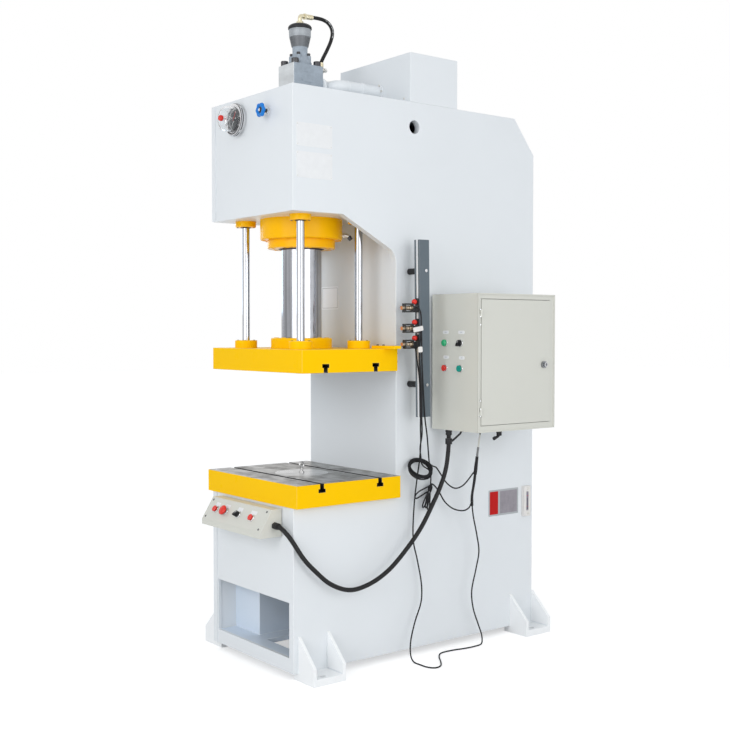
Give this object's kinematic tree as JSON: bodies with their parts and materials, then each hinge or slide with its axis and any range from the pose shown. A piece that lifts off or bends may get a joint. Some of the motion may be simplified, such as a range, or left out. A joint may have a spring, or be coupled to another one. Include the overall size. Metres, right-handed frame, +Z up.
{
  "type": "hydraulic press",
  "caption": "Floor-standing C-frame hydraulic press with guided ram plate, slotted worktable, operator console, sensor rail and side-mounted switch cabinet.",
  "frame": {"origin": "centre of the four anchor holes, at floor level", "axes": "+Z up, -Y towards the operator, +X towards the switch cabinet"},
  "size_m": [1.009, 1.4005, 2.6245],
  "materials": {
    "frame_paint": "gloss off-white paint",
    "yellow_paint": "gloss chrome-yellow paint",
    "orange_paint": "gloss golden-yellow paint",
    "beige_paint": "fine textured light grey-beige powder coat",
    "machined_steel": "ground and machined",
    "chrome_rod": "hard chrome, polished",
    "cast_grey": "grey casting",
    "rail_paint": "dark grey paint",
    "zinc": "zinc plated",
    "black_plastic": "matte black",
    "black_rubber": "matte black",
    "red_plastic": "gloss red",
    "green_plastic": "gloss green",
    "blue_plastic": "gloss blue",
    "clear_plastic": "clear"
  },
  "bodies": {
    "frame": {"left_side_plate": "frame_paint", "right_side_plate": "frame_paint", "head_front_plate": "frame_paint", "head_bottom_plate": "frame_paint", "column_front_plate": "frame_paint", "head_top_plate": "frame_paint", "rear_plate": "frame_paint", "base_front_plate": "frame_paint", "base_inner_plates": "frame_paint", "tower_cover": "frame_paint", "feet": "frame_paint", "worktable": "yellow_paint", "table_plug": "machined_steel", "cylinder_barrel": "machined_steel", "cylinder_flange": "orange_paint", "gland_ring": "orange_paint", "guide_bushes": "orange_paint", "valve_block": "cast_grey", "valve_body": "cast_grey", "hose_fittings": "zinc", "pressure_hose": "black_rubber", "suction_pipe": "frame_paint", "gauge_case": "chrome_rod", "gauge_cover": "clear_plastic", "switch_rail": "rail_paint", "rail_standoffs": "black_plastic", "sensor_brackets": "black_plastic", "proximity_sensors": "zinc", "sensor_knobs": "red_plastic", "cabinet_box": "beige_paint", "door_hinges": "chrome_rod", "cabinet_lamp": "green_plastic", "operator_console": "beige_paint", "level_gauge": "zinc", "cable_glands": "black_plastic", "console_hose": "black_rubber", "switch_cable_a": "black_rubber", "switch_cable_b": "black_rubber", "cable_coil": "black_rubber", "switch_cable_c": "black_rubber", "cable_hank": "black_rubber"},
    "ram": {"piston_rod": "chrome_rod", "rod_flange": "yellow_paint", "ram_plate": "yellow_paint", "ram_striker": "yellow_paint", "guide_rods": "chrome_rod", "guide_rod_flanges": "yellow_paint"},
    "door": {"cabinet_door": "beige_paint"},
    "lock": {"door_lock": "chrome_rod"},
    "cabinet_red": {"cabinet_red_button": "red_plastic"},
    "cabinet_green": {"cabinet_green_button": "green_plastic"},
    "cabinet_switch": {"cabinet_selector": "black_plastic"},
    "console_left": {"console_left_button": "red_plastic"},
    "console_right": {"console_right_button": "red_plastic"},
    "stop_button": {"emergency_stop": "red_plastic"},
    "console_switch": {"console_selector": "black_plastic"},
    "valve_wheel": {"handwheel": "blue_plastic"},
    "pointer": {"gauge_pointer": "black_plastic"},
    "set_knob": {"gauge_set_knob": "red_plastic"}
  },
  "joints": [
    {"name": "ram_slide", "type": "slide", "parent": "frame", "child": "ram", "axis": [0, 0, 1], "range_m": [-0.19, 0.19]},
    {"name": "door_hinge", "type": "hinge", "parent": "frame", "child": "door", "pos_m": [0.591, 0.051, 1.2], "axis": [0, 0, -1], "range_deg": [0, 110]},
    {"name": "lock_turn", "type": "hinge", "parent": "door", "child": "lock", "pos_m": [0.587, 0.407, 1.194], "axis": [-1, 0, 0], "range_deg": [0, 90]},
    {"name": "cabinet_red_press", "type": "slide", "parent": "frame", "child": "cabinet_red", "axis": [0, 1, 0], "range_m": [0, 0.004], "stiffness_N_per_m": 700, "springref_m": -0.002},
    {"name": "cabinet_green_press", "type": "slide", "parent": "frame", "child": "cabinet_green", "axis": [0, 1, 0], "range_m": [0, 0.004], "stiffness_N_per_m": 700, "springref_m": -0.002},
    {"name": "cabinet_selector_turn", "type": "hinge", "parent": "frame", "child": "cabinet_switch", "pos_m": [0.485, 0.037, 1.284], "axis": [0, 1, 0], "range_deg": [0, 90]},
    {"name": "console_left_press", "type": "slide", "parent": "frame", "child": "console_left", "axis": [0, 0.8486, -0.5291], "range_m": [0, 0.004], "stiffness_N_per_m": 700, "springref_m": -0.002},
    {"name": "console_right_press", "type": "slide", "parent": "frame", "child": "console_right", "axis": [0, 0.8486, -0.5291], "range_m": [0, 0.004], "stiffness_N_per_m": 700, "springref_m": -0.002},
    {"name": "emergency_stop_press", "type": "slide", "parent": "frame", "child": "stop_button", "axis": [0, 0.8486, -0.5291], "range_m": [0, 0.004]},
    {"name": "console_selector_turn", "type": "hinge", "parent": "frame", "child": "console_switch", "pos_m": [0.02, -0.7175, 0.6095], "axis": [0, -0.8486, 0.5291], "range_deg": [0, 90]},
    {"name": "handwheel_turn", "type": "hinge", "parent": "frame", "child": "valve_wheel", "pos_m": [0.13, -0.675, 2.18], "axis": [0, -1, 0], "continuous": true},
    {"name": "gauge_pointer_turn", "type": "hinge", "parent": "frame", "child": "pointer", "pos_m": [-0.088, -0.66, 2.176], "axis": [0, 1, 0], "range_deg": [0, 270]},
    {"name": "gauge_knob_turn", "type": "hinge", "parent": "frame", "child": "set_knob", "pos_m": [-0.088, -0.7, 2.176], "axis": [0, 1, 0], "range_deg": [-90, 180]}
  ]
}
